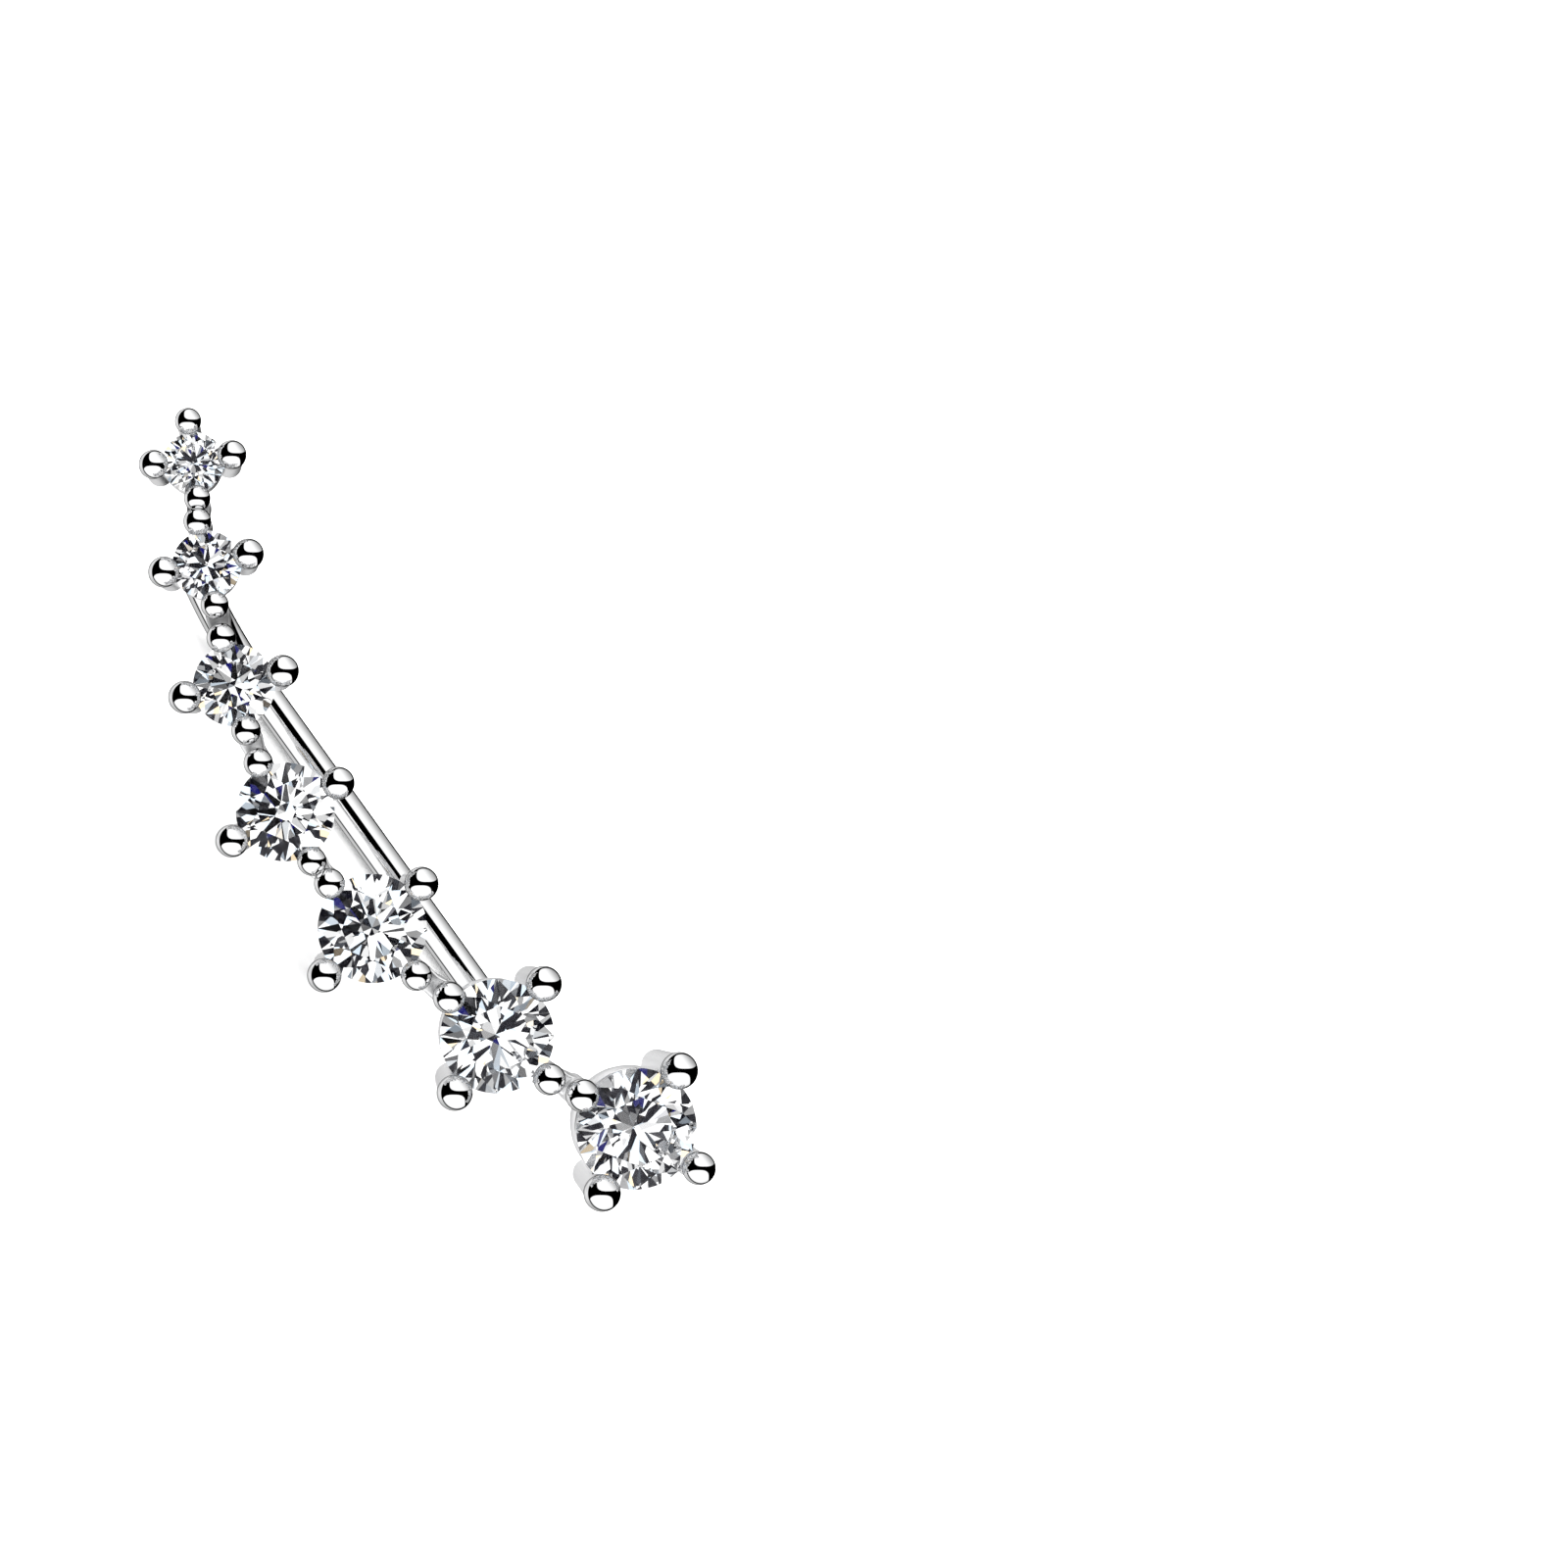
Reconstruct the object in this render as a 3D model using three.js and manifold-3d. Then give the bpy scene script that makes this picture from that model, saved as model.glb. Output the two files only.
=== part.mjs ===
/*
 * An ear climber stud: seven round brilliants in four-claw baskets, soldered into a curved row
 * that is slightly domed, with one ear wire. The wire leaves the back of the sixth basket, bends
 * and runs up behind the row, so that the ear sits between the two. Millimetres, +Z up.
 *
 * The row is drawn in a frame of its own: +Y points up the row to its tip, +Z out of the stones'
 * faces and +X to the hollow side of the curve. The last group then lays the whole down as it
 * rests on a flat surface.
 */
import * as THREE from 'three';
import { ConvexGeometry } from 'three/addons/geometries/ConvexGeometry.js';
import { mergeVertices } from 'three/addons/utils/BufferGeometryUtils.js';
import Module from 'manifold-3d';

const wasm = await Module();
wasm.setup();

// The baskets from the tip of the row to its foot.
//   diameter  of the stone's girdle
//   step      from the basket before, and heading the way it goes: degrees from -Y toward +X
//   turn      of the basket about +Z, and lean of its face toward the foot of the row, in degrees
//   along     how far the claw tips that face the neighbours stand from the basket's axis
//   across    the same for the two claw tips at the sides
//   bead      radius of the claw tips
const BASKETS = [
  { diameter: 1.50, step: 0.00, heading: 0.0, turn: 7.0, lean: -12, along: 0.97, across: 0.96, bead: 0.36 },
  { diameter: 1.68, step: 2.52, heading: 7.7, turn: 12.0, lean: -8, along: 1.05, across: 1.05, bead: 0.38 },
  { diameter: 2.00, step: 3.00, heading: 13.0, turn: 15.0, lean: -4, along: 1.17, across: 1.23, bead: 0.40 },
  { diameter: 2.40, step: 3.32, heading: 22.0, turn: 28.6, lean: 0, along: 1.36, across: 1.47, bead: 0.40 },
  { diameter: 2.66, step: 3.53, heading: 36.7, turn: 43.3, lean: 4, along: 1.54, across: 1.62, bead: 0.42 },
  { diameter: 2.80, step: 4.00, heading: 49.1, turn: 50.7, lean: 10, along: 1.60, across: 1.71, bead: 0.44 },
  { diameter: 3.00, step: 4.07, heading: 56.2, turn: 57.8, lean: 16, along: 1.74, across: 1.76, bead: 0.46 },
];
const ROW_TIP = { x: -5.72, y: 8.39 }; // the first basket, in the row's frame
const POST_BASKET = 5; // the sixth one carries the post

// A round brilliant, as shares of its girdle diameter.
const CUT = { table: 0.57, crown: 0.15, girdle: 0.03, pavilion: 0.43, star: 0.5, lowerHalf: 0.77 };
const STONE_GAP = 0.04; // between a stone and the metal that holds it

// The metal.
const CLAW_SIDES = 8;
const CLAW_ARC_STEPS = 4;
const RING_SIDES = 12;
const BEAD_RISE = { least: 0.16, share: 0.1 }; // of the claw tips over the girdle: plus a share of its diameter
const CLAW_SHARE = 0.88; // claw radius over bead radius
const NEIGHBOUR_CLAW = 0.90; // the claws that face a neighbour are thinner by this much
const CLAW_FLARE = 6; // degrees that a claw leans out
const BASE_BELOW_CULET = 0.25;
const GALLERY = { outer: 0.95, inner: 0.76, top: 0.17, height: 0.17 }; // shares of radius, then of diameter
const BASE = { outer: 0.88, inner: 0.6, height: 0.35 }; // base ring: shares of radius, then millimetres
const WEB = { width: 0.6, top: -0.35 };

// The post and the ear wire: the corners of its route in the row's frame, each rounded by its own
// length of bend. The route starts at the pad behind the sixth basket.
const WIRE_RADIUS = 0.4;
const WIRE_SIDES = 10;
const WIRE_STEPS = 36;
const PAD_THICKNESS = 0.3;
const WIRE_CORNERS = [
  { x: 1.95, y: -5.62, z: -4.3, bend: 1.6 },
  { x: -5.00, y: 4.08, z: -3.1, bend: 1.8 },
  { x: -5.74, y: 5.75, z: -2.0, bend: 0 },
];

// How it lies: spun about its own +Z until the full side of the curve is down, then tipped back
// until it leans on the wire and on one claw of the fourth basket, where it balances.
const LIE = { spin: 58.6, tip: 53.0 };

const degrees = THREE.MathUtils.degToRad;

// --- solids -------------------------------------------------------------------------------

/** A closed geometry as a solid, moved by a matrix. */
function solidOf(geometry, matrix = new THREE.Matrix4()) {
  const bare = geometry.clone().applyMatrix4(matrix);
  bare.deleteAttribute('normal');
  bare.deleteAttribute('uv');
  const merged = mergeVertices(bare, 1e-5);
  return new wasm.Manifold(new wasm.Mesh({
    numProp: 3,
    vertProperties: new Float32Array(merged.attributes.position.array),
    triVerts: new Uint32Array(merged.index.array),
  }));
}

/** A solid back as a geometry. */
function geometryOf(solid) {
  const { vertProperties, triVerts } = solid.getMesh();
  const geometry = new THREE.BufferGeometry();
  geometry.setAttribute('position', new THREE.BufferAttribute(vertProperties, 3));
  geometry.setIndex(new THREE.BufferAttribute(triVerts, 1));
  geometry.computeVertexNormals();
  return geometry;
}

/** A round claw from its foot to the centre of its ball tip, turned on a lathe. */
function clawGeometry(foot, tip, ball) {
  const along = tip.clone().sub(foot);
  const shank = ball * CLAW_SHARE;
  const neck = Math.acos(CLAW_SHARE);
  const profile = [new THREE.Vector2(0, 0), new THREE.Vector2(shank, 0)];
  for (let i = 0; i <= CLAW_ARC_STEPS; i++) {
    const angle = THREE.MathUtils.lerp(-neck, Math.PI / 2, i / CLAW_ARC_STEPS);
    const out = i === CLAW_ARC_STEPS ? 0 : ball * Math.cos(angle);
    profile.push(new THREE.Vector2(out, along.length() + ball * Math.sin(angle)));
  }
  const geometry = new THREE.LatheGeometry(profile, CLAW_SIDES);
  const up = new THREE.Vector3(0, 1, 0);
  geometry.applyQuaternion(new THREE.Quaternion().setFromUnitVectors(up, along.normalize()));
  return geometry.translate(...foot);
}

/** A flat ring about Z. */
function ring(outer, inner, bottom, top) {
  const profile = [[inner, bottom], [outer, bottom], [outer, top], [inner, top], [inner, bottom]];
  const geometry = new THREE.LatheGeometry(profile.map(([r, z]) => new THREE.Vector2(r, z)), RING_SIDES);
  return geometry.rotateX(Math.PI / 2);
}

// --- stones -------------------------------------------------------------------------------

/** A point at a distance from the axis and an eighth-turn count around it. */
function around(distance, eighths, z) {
  const angle = eighths * Math.PI / 4;
  return new THREE.Vector3(distance * Math.cos(angle), distance * Math.sin(angle), z);
}

/**
 * A round brilliant with its girdle's middle at z 0. Its corners are the table's, the star tips,
 * the girdle's upper and lower edges, the tips of the lower halves and the culet; the facets are
 * the faces of their convex hull. The corners between two kites lie in the planes of both.
 */
function brilliant(diameter) {
  const radius = diameter / 2;
  const halfAngle = Math.cos(Math.PI / 8);
  const girdle = CUT.girdle * diameter / 2;
  const table = CUT.table * radius;
  const tableZ = girdle + CUT.crown * diameter;
  const culetZ = -girdle - CUT.pavilion * diameter;
  const star = THREE.MathUtils.lerp(table * halfAngle, radius, CUT.star);
  const starZ = THREE.MathUtils.mapLinear(star * halfAngle, table, radius, tableZ, girdle);
  const half = (1 - CUT.lowerHalf) * radius;
  const halfZ = THREE.MathUtils.mapLinear(half * halfAngle, 0, radius, culetZ, -girdle);
  const corners = [new THREE.Vector3(0, 0, culetZ)];
  for (let eighth = 0; eighth < 8; eighth++) {
    corners.push(around(table, eighth, tableZ));
    corners.push(around(star, eighth + 0.5, starZ));
    corners.push(around(half, eighth + 0.5, halfZ));
    for (const side of [0, 0.5]) {
      corners.push(around(radius, eighth + side, girdle));
      corners.push(around(radius, eighth + side, -girdle));
    }
  }
  return new ConvexGeometry(corners);
}

// --- places -------------------------------------------------------------------------------

/** Where each basket stands in the row's frame: its matrix, with the measures that follow from it. */
function placed(baskets) {
  const at = new THREE.Vector3(ROW_TIP.x, ROW_TIP.y, 0);
  let before = baskets[0];
  return baskets.map((basket) => {
    const heading = degrees(basket.heading);
    const slope = degrees((basket.lean + before.lean) / 2);
    at.x += basket.step * Math.sin(heading);
    at.y -= basket.step * Math.cos(heading);
    at.z -= basket.step * Math.tan(slope);
    before = basket;
    const turned = new THREE.Euler(degrees(basket.lean), 0, degrees(basket.turn), 'ZXY');
    const matrix = new THREE.Matrix4().makeRotationFromEuler(turned).setPosition(at);
    const unturned = new THREE.Matrix4().makeRotationZ(-degrees(basket.turn));
    return {
      ...basket,
      matrix,
      stoneMatrix: matrix.clone().multiply(unturned), // the facets of all the stones point one way
      bottom: -CUT.pavilion * basket.diameter - BASE_BELOW_CULET,
      rise: BEAD_RISE.least + BEAD_RISE.share * basket.diameter,
    };
  });
}

/** The foot and the tip of one claw, in its basket's frame. side 0 and 2 are across the row. */
function claw(basket, side) {
  const tip = side % 2 ? basket.along : basket.across;
  const foot = tip - Math.tan(degrees(CLAW_FLARE)) * (basket.rise - basket.bottom);
  return {
    tip: around(tip, 2 * side, basket.rise),
    foot: around(foot, 2 * side, basket.bottom),
    bead: basket.bead * (side % 2 ? NEIGHBOUR_CLAW : 1),
  };
}

// --- metal --------------------------------------------------------------------------------

function basketSolids(basket) {
  const { diameter, bottom, matrix } = basket;
  const radius = diameter / 2;
  const galleryTop = -GALLERY.top * diameter;
  const pieces = [
    ring(GALLERY.outer * radius, GALLERY.inner * radius, galleryTop - GALLERY.height * diameter, galleryTop),
    ring(BASE.outer * radius, BASE.inner * radius, bottom, bottom + BASE.height),
  ];
  for (const side of [0, 1, 2, 3]) {
    const { tip, foot, bead } = claw(basket, side);
    pieces.push(clawGeometry(foot, tip, bead));
  }
  return pieces.map((piece) => solidOf(piece, matrix));
}

/** The web that joins the facing claws of two neighbours. */
function webSolid(upper, lower) {
  const from = claw(upper, 3).foot.applyMatrix4(upper.matrix);
  const to = claw(lower, 1).foot.applyMatrix4(lower.matrix);
  const along = to.clone().sub(from);
  const height = WEB.top - Math.max(upper.bottom, lower.bottom);
  const geometry = new THREE.BoxGeometry(along.length(), WEB.width, height);
  geometry.translate(0, 0, height / 2);
  const forward = along.clone().normalize();
  const out = new THREE.Vector3(0, 0, 1).addScaledVector(forward, -forward.z).normalize();
  const sideways = out.clone().cross(forward);
  const matrix = new THREE.Matrix4().makeBasis(forward, sideways, out);
  matrix.setPosition(from.add(to).multiplyScalar(0.5));
  return solidOf(geometry, matrix);
}

/** A route through corners, straight between them and rounded at each that has a bend. */
function roundedRoute(start, corners) {
  const route = new THREE.CurvePath();
  let from = start;
  corners.forEach((corner, i) => {
    const at = new THREE.Vector3(corner.x, corner.y, corner.z);
    const next = corners[i + 1] ?? corner;
    const toBack = from.clone().sub(at).setLength(corner.bend);
    const toNext = new THREE.Vector3(next.x, next.y, next.z).sub(at).setLength(corner.bend);
    const bendStart = at.clone().add(toBack);
    route.add(new THREE.LineCurve3(from, bendStart));
    if (corner.bend > 0) {
      from = at.clone().add(toNext);
      route.add(new THREE.QuadraticBezierCurve3(bendStart, at, from));
    }
  });
  return route;
}

function wireSolids(basket) {
  const section = Array.from({ length: WIRE_SIDES }, (_, i) => {
    const angle = i * 2 * Math.PI / WIRE_SIDES;
    return new THREE.Vector2(WIRE_RADIUS * Math.cos(angle), WIRE_RADIUS * Math.sin(angle));
  });
  const root = new THREE.Vector3(0, 0, basket.bottom + PAD_THICKNESS / 2).applyMatrix4(basket.matrix);
  const wire = new THREE.ExtrudeGeometry(new THREE.Shape(section), {
    steps: WIRE_STEPS,
    extrudePath: roundedRoute(root, WIRE_CORNERS),
    bevelEnabled: false,
  });
  const { x, y, z } = WIRE_CORNERS.at(-1);
  const end = new THREE.SphereGeometry(WIRE_RADIUS, WIRE_SIDES, 6).translate(x, y, z);
  const padRadius = BASE.outer * basket.diameter / 2;
  const pad = new THREE.CylinderGeometry(padRadius, padRadius, PAD_THICKNESS, RING_SIDES);
  pad.rotateX(Math.PI / 2).translate(0, 0, basket.bottom + PAD_THICKNESS / 2);
  return [solidOf(wire), solidOf(end), solidOf(pad, basket.matrix)];
}

function frameGeometry(baskets) {
  const pieces = baskets.flatMap(basketSolids);
  baskets.slice(1).forEach((lower, i) => pieces.push(webSolid(baskets[i], lower)));
  pieces.push(...wireSolids(baskets[POST_BASKET]));
  const metal = pieces.reduce((whole, piece) => whole.add(piece));
  const seats = baskets.map((basket) => (
    solidOf(brilliant(basket.diameter + 2 * STONE_GAP), basket.stoneMatrix)
  ));
  return geometryOf(seats.reduce((whole, seat) => whole.subtract(seat), metal));
}

// --- the earring --------------------------------------------------------------------------

const silver = new THREE.MeshStandardMaterial({ color: 0xe8e9eb, roughness: 0.08, metalness: 1 });
const crystal = new THREE.MeshStandardMaterial({ color: 0xf4f7fb, roughness: 0.02, metalness: 0 });

const baskets = placed(BASKETS);
const row = new THREE.Group();
row.rotation.set(degrees(LIE.tip), 0, degrees(LIE.spin));

const frame = new THREE.Mesh(frameGeometry(baskets), silver);
frame.name = 'climber_frame';
row.add(frame);

baskets.forEach((basket, i) => {
  const stone = new THREE.Mesh(brilliant(basket.diameter), crystal);
  stone.name = `stone_${i + 1}`;
  stone.applyMatrix4(basket.stoneMatrix);
  row.add(stone);
});

// The origin is under the middle of the whole, on the surface that it lies on.
const box = new THREE.Box3().setFromObject(row, true);
const middle = box.getCenter(new THREE.Vector3());
row.position.set(-middle.x, -middle.y, -box.min.z);

const earring = new THREE.Group();
earring.add(row);

export default earring;
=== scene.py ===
# %% [markdown]
# # An ear climber, from its stones to its polish
#
# An ear climber is a stud earring whose row of stones climbs along the edge of the ear. This
# one has seven round brilliants that grow from 1.5 to 3 mm. Each sits in a basket of four
# claws and two rings, and the baskets are soldered into one curved row. A wire leaves the
# back of the sixth basket, goes through the ear and springs up behind the row.
#
# The model comes in as a plain, faceted frame in metres. This lesson cuts finer stones, turns
# smooth claws and rings, draws the wire, and then gives them their gemstone and their polish.

# %% Load the frame
import math

import bmesh
import bpy
from mathutils import Matrix, Vector


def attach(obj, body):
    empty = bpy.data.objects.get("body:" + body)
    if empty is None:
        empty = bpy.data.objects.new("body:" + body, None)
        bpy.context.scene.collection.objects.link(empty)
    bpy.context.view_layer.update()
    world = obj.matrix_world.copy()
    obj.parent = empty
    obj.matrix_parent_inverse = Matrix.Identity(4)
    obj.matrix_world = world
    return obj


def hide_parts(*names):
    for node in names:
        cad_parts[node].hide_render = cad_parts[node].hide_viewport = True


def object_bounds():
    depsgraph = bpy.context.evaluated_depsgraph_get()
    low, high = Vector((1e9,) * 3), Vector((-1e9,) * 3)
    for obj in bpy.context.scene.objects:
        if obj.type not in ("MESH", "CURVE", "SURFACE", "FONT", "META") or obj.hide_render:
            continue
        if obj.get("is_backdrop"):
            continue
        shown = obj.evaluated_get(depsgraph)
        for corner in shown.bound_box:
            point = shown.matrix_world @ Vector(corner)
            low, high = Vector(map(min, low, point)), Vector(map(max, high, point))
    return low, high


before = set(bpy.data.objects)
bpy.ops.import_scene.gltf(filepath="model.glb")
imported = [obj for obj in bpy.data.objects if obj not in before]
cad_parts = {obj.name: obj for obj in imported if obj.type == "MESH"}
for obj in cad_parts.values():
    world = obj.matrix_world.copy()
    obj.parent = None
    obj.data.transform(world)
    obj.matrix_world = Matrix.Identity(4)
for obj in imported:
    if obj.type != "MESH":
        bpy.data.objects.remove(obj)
cad_low, cad_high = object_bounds()

MM = 0.001
cad_size = [round((high - low) / MM, 2) for low, high in zip(cad_low, cad_high)]
print("nodes:", sorted(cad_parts))
print("the earring as it lies, in mm:", cad_size)

# %% [markdown]
# ## Reading the stones
#
# The stones tell where everything goes. Each is a round brilliant, and two things about it can
# be read from its bare triangles. Its table, the flat top, is the largest area that faces one
# way, so the normal of that area is the stone's axis. Its girdle, the widest edge, gives the
# diameter and the middle. Typing in seven places would work too, but a measured place can't
# drift away from the frame.

# %% Find each stone's middle, axis and diameter
GIRDLE_SHARE = 0.999


def read_stone(node):
    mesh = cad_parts[node].data
    area_facing = {}
    for face in mesh.polygons:
        way = tuple(round(c, 3) for c in face.normal)
        area_facing[way] = area_facing.get(way, 0) + face.area
    axis = Vector(max(area_facing, key=area_facing.get)).normalized()
    points = [v.co.copy() for v in mesh.vertices]
    foot = min(points, key=lambda p: p.dot(axis))
    off_axis = [((p - foot) - axis * (p - foot).dot(axis)).length for p in points]
    widest = max(off_axis)
    edge = [p.dot(axis) for p, off in zip(points, off_axis) if off > widest * GIRDLE_SHARE]
    height = (min(edge) + max(edge)) / 2
    return {
        "node": node,
        "axis": axis,
        "middle": foot + axis * (height - foot.dot(axis)),
        "diameter": 2 * widest / MM,
    }


stones = [read_stone(f"stone_{n}") for n in range(1, 8)]
for stone in stones:
    print(stone["node"], f"{stone['diameter']:.2f} mm across")

# %% [markdown]
# ## The row's own frame
#
# The earring lies on its side, leaning on its wire and on one claw, which is an awkward way to
# work on it. A goldsmith would hold it face up. So everything is made in the row's own frame,
# in millimetres: +Y runs up the row to the small stone, +X is the hollow side of the curve and
# +Z comes out of the stones' faces. One matrix then lays the finished work down as the real
# one lies: spun about its face, tipped back, and moved until the first stone is in place.

# %% The matrix that lays the row down
SPIN, TIP = math.radians(58.6), math.radians(53.0)
FIRST_STONE = Vector((-5.72, 8.39, 0.0))

lie = Matrix.Rotation(TIP, 4, "X") @ Matrix.Rotation(SPIN, 4, "Z") @ Matrix.Scale(MM, 4)
laid_down = Matrix.Translation(stones[0]["middle"] - lie @ FIRST_STONE) @ lie
to_row = laid_down.inverted()
turned = lie.to_3x3() * (1 / MM)
face_way = turned @ Vector((0, 0, 1))
print("the faces look towards", [round(c, 3) for c in face_way])

# %% [markdown]
# ## Seven baskets
#
# The baskets follow the curve, so each is turned a little more than the one before. Two of its
# claws stand across the row and two along it. For every basket this table gives the turn, how
# far the tips of the claws stand from the axis, and the radius of their round tips. How deep
# the basket goes, and how far the claws rise above the girdle, follow from the stone's size.
# The basket's frame has its X across the row and its Z out of the stone's face.

# %% Give each basket its frame
TURN = (7.0, 12.0, 15.0, 28.6, 43.3, 50.7, 57.8)
ACROSS = (0.96, 1.05, 1.23, 1.47, 1.62, 1.71, 1.76)
ALONG = (0.97, 1.05, 1.17, 1.36, 1.54, 1.60, 1.74)
TIP_RADIUS = (0.36, 0.38, 0.40, 0.40, 0.42, 0.44, 0.46)
DEPTH_SHARE, DEPTH_EXTRA = 0.43, 0.25
RISE_SHARE, RISE_EXTRA = 0.10, 0.16


def standing(middle, across, axis):
    """A frame from its middle, its X and its Z."""
    place = Matrix.Identity(4)
    for column, way in enumerate((across, axis.cross(across), axis)):
        for r in range(3):
            place[r][column] = way[r]
    place.translation = middle
    return place


baskets = []
for stone, turn, across, along, tip in zip(stones, TURN, ACROSS, ALONG, TIP_RADIUS):
    axis = (turned.inverted() @ stone["axis"]).normalized()
    sideways = Vector((math.cos(math.radians(turn)), math.sin(math.radians(turn)), 0))
    place = standing(to_row @ stone["middle"], sideways, axis)
    diameter = stone["diameter"]
    baskets.append(
        {
            "place": place,
            "stone_place": place @ Matrix.Rotation(-math.radians(turn), 4, "Z"),
            "node": stone["node"],
            "diameter": diameter,
            "across": across,
            "along": along,
            "tip": tip,
            "bottom": -DEPTH_SHARE * diameter - DEPTH_EXTRA,
            "rise": RISE_SHARE * diameter + RISE_EXTRA,
        }
    )
    print(stone["node"], "lean", round(math.degrees(math.asin(-axis.y)), 1))

# %% [markdown]
# ## Working by hand, in code
#
# Everything below is made with the same operators that a modeller uses by hand: add a shape,
# go into edit mode, select, extrude. An operator works on whatever is selected, so two small
# helpers keep that under control. One leaves nothing selected. The other selects by place: it
# takes a test, and picks the vertices, edges or faces whose middle passes it.


# %% Helpers for selecting, copying and applying
def let_go():
    bpy.ops.object.select_all(action="DESELECT")


def take(thing):
    let_go()
    thing.select_set(True)
    bpy.context.view_layer.objects.active = thing
    return thing


def pick(kind, passes):
    """In edit mode, selects the VERT, EDGE or FACE elements whose middle passes a test."""
    bpy.ops.mesh.select_mode(type=kind)
    bpy.ops.mesh.select_all(action="DESELECT")
    mesh = bpy.context.object.data
    work = bmesh.from_edit_mesh(mesh)
    elements = {"VERT": work.verts, "EDGE": work.edges, "FACE": work.faces}[kind]
    for element in elements:
        corners = [element] if kind == "VERT" else element.verts
        middle = sum((c.co for c in corners), Vector()) / len(corners)
        element.select_set(bool(passes(middle)))
    work.select_flush_mode()
    bmesh.update_edit_mesh(mesh)


def edit(thing):
    take(thing)
    bpy.ops.object.mode_set(mode="EDIT")


def done():
    bpy.ops.object.mode_set(mode="OBJECT")
    return bpy.context.object


def named(name):
    thing = bpy.context.object
    thing.name = thing.data.name = name
    return thing


def copy_of(master, name):
    thing = master.copy()
    thing.data = master.data.copy()
    bpy.context.collection.objects.link(thing)
    take(thing)
    return named(name)


def put(thing, place):
    """Moves a piece by a matrix and puts that into its mesh."""
    take(thing)
    thing.matrix_world = place
    bpy.ops.object.transform_apply(location=True, rotation=True, scale=True)
    return thing


def modify(thing, kind, **settings):
    """Adds a modifier with its settings and applies it."""
    take(thing)
    modifier = thing.modifiers.new(kind.title(), kind)
    for setting, value in settings.items():
        setattr(modifier, setting, value)
    bpy.ops.object.modifier_apply(modifier=modifier.name)
    return thing


def scrap(thing):
    bpy.data.objects.remove(thing, do_unlink=True)


def fuse(whole, part):
    """Solders part to whole, as one closed solid."""
    modify(whole, "BOOLEAN", operation="UNION", solver="MANIFOLD", object=part)
    scrap(part)
    return whole


let_go()
print("selected after letting go:", len(bpy.context.selected_objects))


# %% [markdown]
# ## Cutting the brilliant
#
# A round brilliant has 57 flat facets and a round girdle. It could be built from a list of
# corners, as the frame's faceted stones are, but then its outline is a polygon of sixteen
# sides. A cutter starts with a round blank and grinds one flat after another, and bisect does
# just that: each cut takes away all that is outside one plane. The girdle stays round, and
# where a facet runs into it, it leaves the small scallops of a real stone.
#
# The stone is cut once, one millimetre across, with the table, crown, girdle and pavilion of
# an ordinary cut as shares of that. The girdle's two brinks lie half its height above and
# below its middle. Every cut is given by three corners that its facet shares with its
# neighbours.

# %% The corners of a brilliant one millimetre across
TABLE, CROWN, GIRDLE, PAVILION = 0.57, 0.15, 0.03, 0.43
STAR, LOWER_HALF = 0.5, 0.77
EIGHTH = math.radians(45)
BRINK = GIRDLE / 2
TABLE_Z, CULET_Z = BRINK + CROWN, -BRINK - PAVILION


def corner(distance, eighths, z):
    return Vector(
        (distance * math.cos(eighths * EIGHTH), distance * math.sin(eighths * EIGHTH), z)
    )


def between(value, low, high, to_low, to_high):
    return to_low + (value - low) * (to_high - to_low) / (high - low)


HALF_EIGHTH = math.cos(EIGHTH / 2)
table_edge = TABLE / 2
star_tip = table_edge * HALF_EIGHTH * (1 - STAR) + STAR / 2
star_z = between(star_tip * HALF_EIGHTH, table_edge, 0.5, TABLE_Z, BRINK)
half_tip = (1 - LOWER_HALF) / 2
half_z = between(half_tip * HALF_EIGHTH, 0, 0.5, CULET_Z, -BRINK)
culet = Vector((0, 0, CULET_Z))

facets = []
for k in range(8):
    table_corner, next_corner = (corner(table_edge, k + s, TABLE_Z) for s in (0, 1))
    star = corner(star_tip, k + 0.5, star_z)
    star_before = corner(star_tip, k - 0.5, star_z)
    low_tip = corner(half_tip, k + 0.5, half_z)
    low_before = corner(half_tip, k - 0.5, half_z)
    top = [corner(0.5, k + s, BRINK) for s in (0, 0.5, 1)]
    low = [corner(0.5, k + s, -BRINK) for s in (0, 0.5, 1)]
    facets += [
        (table_corner, star_before, star),
        (table_corner, star, next_corner),
        (star, top[0], top[1]),
        (star, top[1], top[2]),
        (culet, low_tip, low_before),
        (low_tip, low[1], low[0]),
        (low_tip, low[2], low[1]),
    ]
print(len(facets) + 1, "facets with the table")

# %% Grind them into a round blank
SIDES_OF_BLANK = 96
NEARLY_FLAT = math.radians(0.3)
ON_THE_PLANE, MERGE = 1e-6, 1e-4
let_go()
bpy.ops.mesh.primitive_cylinder_add(
    vertices=SIDES_OF_BLANK,
    radius=0.5,
    depth=TABLE_Z - CULET_Z,
    location=(0, 0, (TABLE_Z + CULET_Z) / 2),
)
bpy.ops.object.transform_apply()
brilliant = named("brilliant")
edit(brilliant)
for a, b, c in facets:
    normal = (b - a).cross(c - a).normalized()
    if normal.dot(a) < 0:
        normal.negate()
    bpy.ops.mesh.select_all(action="SELECT")
    bpy.ops.mesh.bisect(
        plane_co=a, plane_no=normal, use_fill=True, clear_outer=True,
        threshold=ON_THE_PLANE,
    )
bpy.ops.mesh.select_all(action="SELECT")
bpy.ops.mesh.remove_doubles(threshold=MERGE)
bpy.ops.mesh.dissolve_limited(angle_limit=NEARLY_FLAT)
bpy.ops.mesh.normals_make_consistent(inside=False)
done()
bpy.ops.object.shade_flat()
print("the brilliant has", len(brilliant.data.polygons), "faces, girdle included")

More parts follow.
